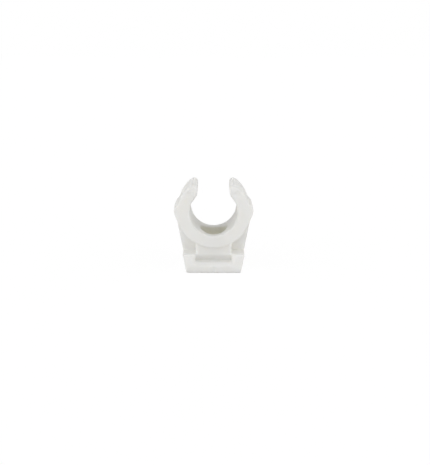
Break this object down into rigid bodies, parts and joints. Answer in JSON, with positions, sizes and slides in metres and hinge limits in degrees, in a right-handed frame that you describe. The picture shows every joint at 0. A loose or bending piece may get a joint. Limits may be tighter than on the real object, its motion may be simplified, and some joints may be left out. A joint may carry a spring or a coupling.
{
  "type": "pipe clip",
  "caption": "Open snap-in pipe clip moulded in one piece: a C-shaped seat with two lips on a tapered body with pockets and a countersunk screw hole.",
  "frame": {"origin": "middle of the base's underside, on the wall that the clip is screwed to", "axes": "+Z away from the wall, out through the mouth; +Y along the pipe; +X across the clip"},
  "size_m": [0.0256, 0.0136, 0.0295],
  "materials": {
    "natural_plastic": "satin, natural off-white, slightly translucent"
  },
  "bodies": {
    "root": {"pipe_clip": "natural_plastic"}
  },
  "joints": []
}
